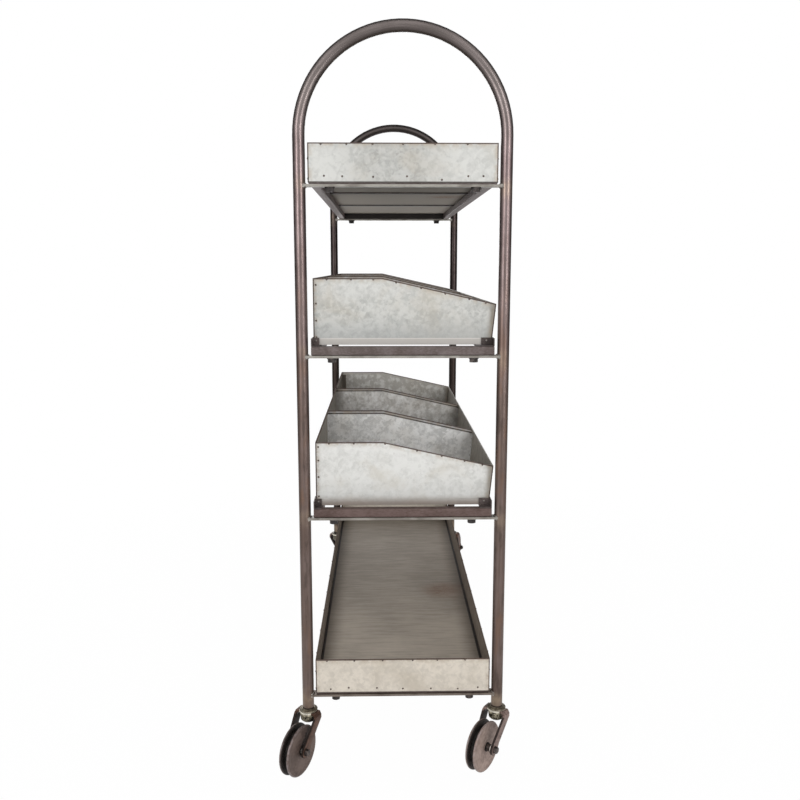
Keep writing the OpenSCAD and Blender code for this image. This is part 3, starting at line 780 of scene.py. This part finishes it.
def tray_walls(tray, light, dark, stain, stain_amount):
    """A tray's long walls: a soiled edge, and brown painted shade inside."""
    inside_brown = rgb(0.100, 0.076, 0.057)
    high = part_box(f"{tray}_end_panels")[1]
    wall = ZincSheet(f"{tray}_wall", light, dark, stain, stain_amount)
    wall.soil_edge(high[2] - axis_of(wall.place, "Z"))
    inside = ease(abs(axis_of(wall.place, "Y")), high[1] - SHEET * 0.4, high[1] - SHEET * 0.8)
    # Painted shade on the walls' inner faces, brown and patchy
    wall.tint(inside * (0.75 + wall.mottle * 0.3), inside_brown).dull(inside)
    dress(wall.done(), f"{tray}_front_wall", f"{tray}_back_wall")


def dress_tray(tray, light, dark, floor_tones, stain_amount, side_light):
    """Finish of one tray: its end panels, its long walls and its brushed floor."""
    stain = rgb(0.435, 0.383, 0.305)
    tray_panel(tray, light, dark, stain, stain_amount, side_light)
    tray_walls(tray, light, dark, stain, stain_amount)
    floor_low, floor_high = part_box(f"{tray}_floor")
    blotch = (-0.09, -0.130, floor_high[2])
    floor = brushed_floor(f"{tray}_zinc_floor", *floor_tones, blotch, floor_low[2], floor_high[1])
    dress(floor, f"{tray}_floor")


def bin_panel(name, light, dark, stain, foot_tint, grime, foot_blur, fold_light):
    """A bin's end panels: grimy above a stained foot, paler inside with brown marks, front edge in painted
    shade, soiled edge.
    """
    grime_grey, upper_pale = rgb(0.350, 0.358, 0.353), rgb(0.75, 0.75, 0.73)
    fold_pale = rgb(0.68, 0.65, 0.615)
    inside_pale, inside_brown = rgb(0.86, 0.84, 0.80), rgb(0.22, 0.185, 0.14)
    front_bend_shade = rgb(0.30, 0.27, 0.225)
    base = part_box(f"{name}_end_panels")[0][2]
    inside_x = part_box(f"{name}_floor")[1][0] + SHEET * 0.5
    panel = ZincSheet(f"{name}_panel", light, dark, stain, stain_amount=0.4)
    height = axis_of(panel.place, "Z") - base
    panel.tint(ease(height, 0.075, BIN_FOOT) * grime, grime_grey)
    panel.tint(ease(height, 0.07, 0.13) * 0.2, upper_pale)
    panel.tint(ease(height, BIN_FOOT + foot_blur, BIN_FOOT - foot_blur) * 0.8, foot_tint)
    panel.tint(ease(abs(height - BIN_FOOT), 0.0016, 0.0006) * fold_light, fold_pale)
    inside = ease(abs(axis_of(panel.place, "X")), inside_x + 0.0002, inside_x - 0.0002)
    panel.tint(inside * 0.3, inside_pale)
    panel.tint(inside * ease(panel.mottle, 0.58, 0.44) * 0.4, inside_brown)
    side = bin_side(panel.place, name)
    front = ease(axis_of(panel.place, "Y"), 0.0, -0.1)
    # Painted shade along the leaning front edge
    panel.tint(ease(side, 0.020, 0.001) * front * 0.7, front_bend_shade)
    panel.soil_edge(below_bin_top(panel.place, name).least(side))
    dress(panel.done(), f"{name}_end_panels")


def bin_dividers(name, stain):
    """A bin's dividers: pale, the right one browned by stain and painted shade, dark along the walls and at
    the folded edge.
    """
    light, dark = rgb(0.93, 0.93, 0.92), rgb(0.66, 0.66, 0.65)
    right_stain_and_shade = rgb(0.20, 0.155, 0.10)
    seam_dark = rgb(0.10, 0.083, 0.063)
    divider = ZincSheet(f"{name}_divider", light, dark, stain, stain_amount=0.25, spread=0.085)
    depth = below_bin_top(divider.place, name)
    # The right divider: patchy stain and painted shade
    browned = ease(axis_of(divider.place, "X"), -0.1, 0.1)
    divider.tint(browned * (0.80 - divider.mottle), right_stain_and_shade)
    seam = ease(bin_side(divider.place, name), 0.035, 0.002)
    divider.tint(seam * (0.30 + browned * 0.25), seam_dark)
    divider.shade_fold(depth).soil_edge(depth)
    dress(divider.done(), f"{name}_dividers")


def bin_walls(name, light, dark, stain):
    """A bin's long walls and floor: clean outside, brown-grey painted shade inside, darkest inside the back
    wall.
    """
    inner_dark, inner_light = rgb(0.265, 0.242, 0.210), rgb(0.355, 0.327, 0.287)
    back_wall_shade = rgb(0.105, 0.086, 0.067)
    wall = ZincSheet(f"{name}_wall", light, dark, stain, stain_amount=0.3)
    inner = ease(bin_side(wall.place, name), SHEET * 0.3, SHEET * 0.7)
    # Painted shade on the inner faces
    wall.tint(inner, mix(ease(wall.mottle, 0.38, 0.62), inner_dark, inner_light))
    # Deeper painted shade inside the back wall, growing towards the far end
    inner_back = inner * ease(axis_of(wall.place, "Y"), 0.0, 0.16)
    dim = 0.40 + ease(axis_of(wall.place, "X"), 0.0, 0.5) * 0.35
    wall.tint(inner_back * dim, back_wall_shade)
    wall.soil_edge(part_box(f"{name}_back_wall")[1][2] - axis_of(wall.place, "Z"))
    dress(wall.done(), f"{name}_front_wall", f"{name}_back_wall", f"{name}_floor")


def dress_bin(name, light, dark, foot_tint, grime, foot_blur, fold_light):
    """Finish of one bin: its end panels, its dividers, and its long walls with the floor."""
    stain = rgb(0.452, 0.405, 0.326)
    bin_panel(name, light, dark, stain, foot_tint, grime, foot_blur, fold_light)
    bin_dividers(name, stain)
    bin_walls(name, light, dark, stain)


def dress_sheets():
    """Finishes of the trays and bins."""
    grey_floor = rgb(0.265, 0.257, 0.240), rgb(0.360, 0.350, 0.330)
    warm_floor = rgb(0.235, 0.203, 0.167), rgb(0.335, 0.290, 0.241)
    dress_tray(
        "top_tray", rgb(0.485, 0.485, 0.463), rgb(0.33, 0.33, 0.315), grey_floor,
        stain_amount=0.35, side_light=0.30)
    dress_tray(
        "bottom_tray", rgb(0.668, 0.612, 0.533), rgb(0.540, 0.493, 0.428), warm_floor,
        stain_amount=0.4, side_light=0.0)
    dress_bin(
        "upper_bin", rgb(0.54, 0.54, 0.515), rgb(0.36, 0.36, 0.343), foot_tint=rgb(0.49, 0.46, 0.43),
        grime=0.55, foot_blur=0.0004, fold_light=0.5)
    dress_bin(
        "lower_bin", rgb(0.66, 0.657, 0.634), rgb(0.52, 0.517, 0.495), foot_tint=rgb(0.218, 0.172, 0.142),
        grime=0.25, foot_blur=0.011, fold_light=0.0)


def dress_casters():
    """Finishes of the swivel heads, forks and wheels, the wheels worn more or less."""
    bronze = bronzed_cup("bronzed_cup", rgb(0.105, 0.088, 0.062), rgb(0.300, 0.265, 0.200), spread=0.11)
    dress(bronze, "caster_top_cups", "caster_stems")
    worn = bronzed_cup("worn_cup", rgb(0.040, 0.032, 0.022), rgb(0.50, 0.45, 0.33), spread=0.06)
    dress(worn, "caster_lower_cups")
    core = groove_iron()
    dark_face = rgb(0.085, 0.058, 0.048), rgb(0.160, 0.116, 0.099)
    pale_face = rgb(0.200, 0.144, 0.122), rgb(0.380, 0.290, 0.250)
    dark_fork = rgb(0.066, 0.033, 0.022), rgb(0.140, 0.073, 0.050)
    pale_fork = rgb(0.125, 0.084, 0.072), rgb(0.275, 0.196, 0.172)
    dark, pale = (dark_fork, dark_face), (pale_fork, pale_face)
    for caster, (fork, face) in zip(CASTERS, (dark, pale, pale, dark)):
        dress(fork_steel(caster, *fork), f"{caster}_fork")
        dress(axle_hardware(caster), f"{caster}_axle")
        dress(wheel_face(caster, *face), f"{caster}_wheel_discs")
        dress(core, f"{caster}_wheel_core")


# Rivets


def model_rivet():
    """One domed rivet head with its foot on z = 0."""
    deselect_all()
    bpy.ops.mesh.primitive_uv_sphere_add(segments=12, ring_count=8, radius=RIVET_R)
    rivet = bpy.context.active_object
    bpy.ops.object.mode_set(mode="EDIT")
    bpy.ops.mesh.select_all(action="SELECT")
    bpy.ops.mesh.bisect(plane_co=(0, 0, 0), plane_no=(0, 0, 1), clear_inner=True, use_fill=True)
    bpy.ops.mesh.select_all(action="SELECT")
    bpy.ops.transform.resize(value=(1, 1, RIVET_H / RIVET_R))
    bpy.ops.object.mode_set(mode="OBJECT")
    bpy.ops.object.shade_smooth_by_angle(angle=math.radians(40))
    return rivet


def tray_rivets(rivet, tray):
    """Rivets through a tray's walls into the rails, along the folded edges and at the corners."""
    low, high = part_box(f"{tray}_end_panels")
    wall_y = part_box(f"{tray}_back_wall")[1][1]
    wall_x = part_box(f"{tray}_back_wall")[1][0]
    pitch = 2 * (wall_x - LONG_INSET) / (LONG_RIVETS - 1)
    places = []
    for side in (-1, 1):
        end = facing(side, 0, 0)
        places += [((side * high[0], y, low[2] + rise), end) for y, rise in FOOT_RIVETS[tray]]
        places += [((side * high[0], y, high[2] - HEM_DROP), end) for y in HEM_RIVETS[tray]]
        outward = facing(0, side, 0)
        for step in range(LONG_RIVETS):
            x = LONG_INSET - wall_x + step * pitch
            places.append(((x, side * wall_y, low[2] + RIVET_RISE), outward))
            places.append(((x, side * wall_y, high[2] - HEM_DROP), outward))
        for x in (CORNER_INSET - wall_x, wall_x - CORNER_INSET):
            places += [((x, side * wall_y, low[2] + rise), outward) for rise in CORNER_RIVETS]
    return copies_of(rivet, places, f"{tray}_rivets")


def tab_rows(name, face, back_turn, front_turn):
    """Rivets through a bin's divider tabs, on the faces of its back and front wall."""
    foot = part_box(f"{name}_end_panels")[0][2]
    low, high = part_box(f"{name}_dividers")
    lean = bin_lean(name)
    places = []
    for x in (low[0] + CORNER_INSET, high[0] - CORNER_INSET):
        places += [((x, face, foot + rise), back_turn) for rise in TAB_RIVETS]
        for rise in TAB_RIVETS[:FRONT_TAB_RIVETS]:
            places.append(((x, -face - lean * rise, foot + rise), front_turn))
    return places


def bin_rivets(rivet, name):
    """Rivets that join a bin's end panels, dividers and long walls, and along the panels' folded edges."""
    low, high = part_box(f"{name}_end_panels")
    wall_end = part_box(f"{name}_front_wall")[1][0]
    full, start, slope = bin_top(name)
    outside = high[0] - SHEET
    back_edge = high[1] - CORNER_INSET
    backward, forward = facing(0, 1, 0), facing(0, -1, 0)
    places = []
    for side in (-1, 1):
        end = facing(side, 0, 0)
        for y in HEM_RIVETS[name]:
            top = min(full, full + (y - start) * slope)
            places.append(((side * outside, y, top - HEM_DROP), end))
        places += [((side * outside, back_edge, low[2] + rise), end) for rise in BACK_RIVETS[name]]
        for rise in FRONT_RIVETS:
            y = -high[1] - bin_lean(name) * rise
            places.append(((side * (wall_end - CORNER_INSET), y, low[2] + rise), forward))
    places += tab_rows(name, high[1], backward, forward)
    return copies_of(rivet, places, f"{name}_rivets")


def tab_rivets(rivet, name):
    """The inner ends of the rivets through a divider's tabs."""
    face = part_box(f"{name}_end_panels")[1][1] - 2 * SHEET
    places = tab_rows(name, face, facing(0, -1, 0), facing(0, 1, 0))
    return copies_of(rivet, places, f"{name}_tab_rivets")


def bracket_rivets(rivet, name):
    """One rivet in each corner bracket's end flange."""
    low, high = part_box(f"{name}_corner_brackets")
    flange_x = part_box(f"{name}_end_panels")[1][0] + BRACKET_GAP + BRACKET_T
    height = low[2] + BRACKET_RIVET_RISE
    places = [
        ((end * flange_x, side * (high[1] - BRACKET_RIVET_Y[side]), height), facing(end, 0, 0))
        for end in (-1, 1) for side in (-1, 1)
    ]
    return copies_of(rivet, places, f"{name}_bracket_rivets")


def make_rivets():
    """Rows of rivets on the trays, bins and brackets."""
    rivet = model_rivet()
    rust_brown, worn_brown = rgb(0.055, 0.040, 0.034), rgb(0.17, 0.135, 0.115)
    dull_grey, bright_grey = rgb(0.16, 0.14, 0.125), rgb(0.30, 0.275, 0.25)
    dark = rivet_metal("rivet_metal", rust_brown, worn_brown, rough=0.46, metallic=0.5)
    pale = rivet_metal("pale_rivet_metal", dull_grey, bright_grey, rough=0.40, metallic=0.6)
    rows = [(tray_rivets(rivet, tray), dark) for tray in TRAYS]
    rows += [(bin_rivets(rivet, name), dark) for name in BINS]
    rows += [(bracket_rivets(rivet, name), pale) for name in BINS]
    rows += [(tab_rivets(rivet, name), pale) for name in BINS]
    drop(rivet)
    for row, metal in rows:
        row.data.materials.append(metal)
        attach(row, CART)


# Welds


def model_weld_bead():
    """A rippled bead bent round a leg over a crossbar's width, its middle towards +X."""
    deselect_all()
    start = WELD_SWEEP / 2
    bpy.ops.mesh.primitive_circle_add(
        vertices=10, radius=WELD_R, fill_type="NGON",
        location=(LEG_R * math.cos(start), LEG_R * math.sin(start), 0), rotation=(math.pi / 2, 0, start))
    bead = bpy.context.active_object
    bpy.ops.object.transform_apply(location=True, rotation=True, scale=True)
    bpy.ops.object.mode_set(mode="EDIT")
    bpy.ops.mesh.select_all(action="SELECT")
    # A spin by a positive angle runs clockwise, here from the start through +X
    bpy.ops.mesh.spin(steps=WELD_STEPS, angle=WELD_SWEEP, center=(0, 0, 0), axis=(0, 0, 1))
    clean_mesh()
    ripple = bpy.data.textures.new("weld_ripple", "CLOUDS")
    ripple.noise_scale = WELD_RIPPLE
    swell = bead.modifiers.new("ripple", "DISPLACE")
    swell.texture = ripple
    swell.strength = WELD_SWELL
    swell.mid_level = 0.5
    bpy.ops.object.modifier_apply(modifier=swell.name)
    bpy.ops.object.shade_smooth_by_angle(angle=math.radians(60))
    return bead


def make_welds():
    """Beads above and below each crossbar's ends, round the legs and towards the bar."""
    bead = model_weld_bead()
    places = [
        ((end * LEG_X, side * LEG_Y, height), (0, 0, -side * math.pi / 2))
        for end in (-1, 1) for side in (-1, 1) for seat in SEATS
        for height in (seat + WELD_SET, seat - CROSSBAR_T - WELD_SET)
    ]
    welds = copies_of(bead, places, "crossbar_welds")
    drop(bead)
    welds.data.materials.append(weld_metal())
    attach(welds, CART)


# Studio


def make_camera():
    data = bpy.data.cameras.new("camera")
    data.sensor_width = CAMERA_SENSOR
    data.lens = CAMERA_LENS
    camera = bpy.data.objects.new("camera", data)
    camera.location = CAMERA_PLACE
    camera.rotation_euler = Vector(CAMERA_LOOK).to_track_quat("-Z", "Y").to_euler()
    bpy.context.collection.objects.link(camera)
    bpy.context.scene.camera = camera


def make_lamp(name, place, target, size, power, in_reflections=True):
    """A soft rectangular lamp that faces a point and may be kept out of reflections."""
    data = bpy.data.lights.new(name, "AREA")
    data.shape = "RECTANGLE"
    data.size, data.size_y = size
    data.energy = power
    lamp = bpy.data.objects.new(name, data)
    lamp.location = place
    lamp.rotation_euler = (Vector(target) - Vector(place)).to_track_quat("-Z", "Y").to_euler()
    lamp.visible_glossy = in_reflections
    bpy.context.collection.objects.link(lamp)


def make_lamps():
    """Two upright strips beside the camera, a weak lamp overhead, one beyond the far end, and soft fills."""
    near_end = (-0.6, 0.0, 0.95)
    far_end = (0.6, 0.0, 0.95)
    middle = (0.0, 0.0, 0.9)
    for name, side in (("left_strip", 1), ("right_strip", -1)):
        make_lamp(name, (-3.1, side * 1.9, 1.6), near_end, size=(0.8, 2.4), power=38.0)
    make_lamp("overhead", (-0.2, 0.0, 3.6), middle, size=(3.0, 2.0), power=22.0)
    make_lamp("far_end", (3.4, 0.6, 1.8), far_end, size=(2.0, 2.0), power=40.0)
    make_lamp("near_fill", (-3.2, 0.0, 1.65), near_end, size=(1.8, 1.0), power=14.0, in_reflections=False)
    make_lamp("top_fill", (0.3, 0.0, 3.6), middle, size=(2.4, 2.0), power=24.0, in_reflections=False)
    for name, side in (("front_fill", -1), ("back_fill", 1)):
        make_lamp(name, (0.0, side * 3.3, 1.3), middle, size=(3.0, 2.0), power=36.0, in_reflections=False)


def make_flag(name, middle, turn, size):
    """A dark card that only shows in reflections, so that round metal gets dark edges against white."""
    deselect_all()
    bpy.ops.mesh.primitive_plane_add(size=1, location=middle, rotation=turn)
    flag = bpy.context.active_object
    flag.name = name
    bpy.ops.transform.resize(value=size)
    bpy.ops.object.transform_apply(location=True, rotation=True, scale=True)
    flag.visible_camera = False
    flag.visible_diffuse = False
    flag.visible_transmission = False
    flag.visible_shadow = False
    material, place = new_material(name)
    weave = noise(place, 200.0)
    cloth = mix(weave, rgb(0.03, 0.03, 0.03), rgb(0.06, 0.06, 0.06))
    surface = place.node("ShaderNodeBsdfDiffuse", inputs={"Color": cloth})
    surface.node("ShaderNodeOutputMaterial", inputs={"Surface": surface})
    flag.data.materials.append(material)


def make_flags():
    """Dark cards along both sides of the cart and above it, reaching well beyond its far end."""
    upright = (math.pi / 2, 0, 0)
    for name, side in (("left_flag", 1), ("right_flag", -1)):
        make_flag(name, (1.8, side * 2.4, 1.5), upright, (6.2, 1, 3.4))
    make_flag("top_flag", (2.1, 0, 2.7), (0, 0, 0), (6.0, 4.8, 1))


def seen_directly(tree):
    """1 on what the camera sees or metal reflects, 0 on what lights other surfaces."""
    kinds = ("Is Camera Ray", "Is Glossy Ray", "Is Transmission Ray")
    rays = [Shade(tree).node("ShaderNodeLightPath", output=kind) for kind in kinds]
    return rays[0].most(rays[1]).most(rays[2])


def make_world():
    """White to the eye and in reflections, plain grey light for the rest."""
    world = bpy.data.worlds.new("studio")
    world.use_nodes = True
    tree = world.node_tree
    tree.nodes.clear()
    strength = seen_directly(tree) * (1.0 - WORLD_LIGHT) + WORLD_LIGHT
    light = strength.node("ShaderNodeBackground", inputs={"Color": rgb(1, 1, 1), "Strength": strength})
    light.node("ShaderNodeOutputWorld", inputs={"Surface": light})
    bpy.context.scene.world = world


def make_floor():
    """Pale floor that keeps a faint shadow near the wheels and fades to the white background."""
    deselect_all()
    bpy.ops.mesh.primitive_circle_add(vertices=96, radius=FLOOR_R, fill_type="NGON", location=(0, 0, 0))
    floor = bpy.context.active_object
    floor.name = "studio_floor"
    material, place = new_material("studio_floor")
    reach = place.node("ShaderNodeVectorMath", {"operation": "LENGTH"}, {0: place}, "Value")
    white_share = FLOOR_WHITE_NEAR + ease(reach, *FLOOR_FADE) * (FLOOR_WHITE_FAR - FLOOR_WHITE_NEAR)
    diffuse = place.node("ShaderNodeBsdfDiffuse", inputs={"Color": rgb(0.8, 0.8, 0.8)})
    white = place.node("ShaderNodeEmission", inputs={"Color": rgb(1, 1, 1), "Strength": 1.0})
    share = seen_directly(material.node_tree) * white_share
    surface = place.node("ShaderNodeMixShader", inputs={0: share, 1: diffuse, 2: white})
    surface.node("ShaderNodeOutputMaterial", inputs={"Surface": surface})
    floor.data.materials.append(material)


make_camera()
make_lamps()
make_flags()
make_world()
make_floor()
dress_frame()
dress_sheets()
dress_casters()
make_rivets()
make_welds()
bpy.context.scene.view_settings.view_transform = "Standard"
